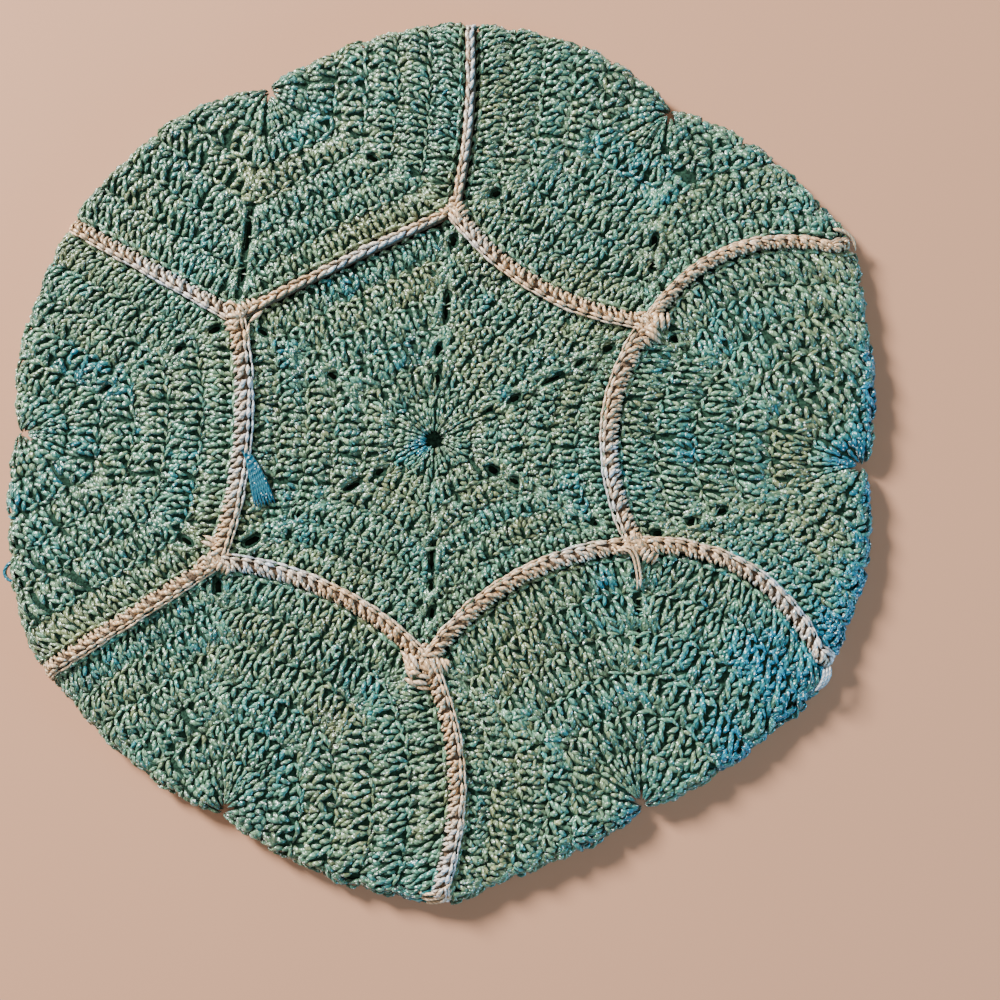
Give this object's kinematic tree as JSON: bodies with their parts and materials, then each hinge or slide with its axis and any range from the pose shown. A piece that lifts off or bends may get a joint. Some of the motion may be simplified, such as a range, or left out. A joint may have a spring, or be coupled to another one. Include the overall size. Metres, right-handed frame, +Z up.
{
  "type": "crochet hot pad",
  "caption": "Flat round-cornered hexagonal hot pad of double crochet, with motifs folded over the rim and a raised cord seam.",
  "frame": {"origin": "on the flat underside, below the ring hole of the front centre motif", "axes": "+Z up through the pad, +Y towards the seam at the top of the front"},
  "size_m": [0.1989, 0.2022, 0.0072],
  "materials": {
    "sage_yarn": "twisted yarn with a fine glitter strand, soft sheen",
    "teal_yarn": "the same yarn in its bluer stretches",
    "seam_cord": "pinkish beige cord with a pearly sheen"
  },
  "bodies": {
    "root": {"centre_motif_front": "sage_yarn", "centre_motif_back": "sage_yarn", "folded_motif_upper_right": "teal_yarn", "folded_motif_upper_left": "teal_yarn", "folded_motif_left": "teal_yarn", "folded_motif_lower_left": "teal_yarn", "folded_motif_lower_right": "teal_yarn", "folded_motif_right": "teal_yarn", "front_ring_seam_upper_right": "seam_cord", "front_ring_seam_upper_left": "seam_cord", "front_ring_seam_left": "seam_cord", "front_ring_seam_lower_left": "seam_cord", "front_ring_seam_lower_right": "seam_cord", "front_ring_seam_right": "seam_cord", "back_ring_seam_upper_right": "seam_cord", "back_ring_seam_upper_left": "seam_cord", "back_ring_seam_left": "seam_cord", "back_ring_seam_lower_left": "seam_cord", "back_ring_seam_lower_right": "seam_cord", "back_ring_seam_right": "seam_cord", "spoke_seam_upper_right": "seam_cord", "spoke_seam_top": "seam_cord", "spoke_seam_upper_left": "seam_cord", "spoke_seam_lower_left": "seam_cord", "spoke_seam_bottom": "seam_cord", "spoke_seam_lower_right": "seam_cord"}
  },
  "joints": []
}
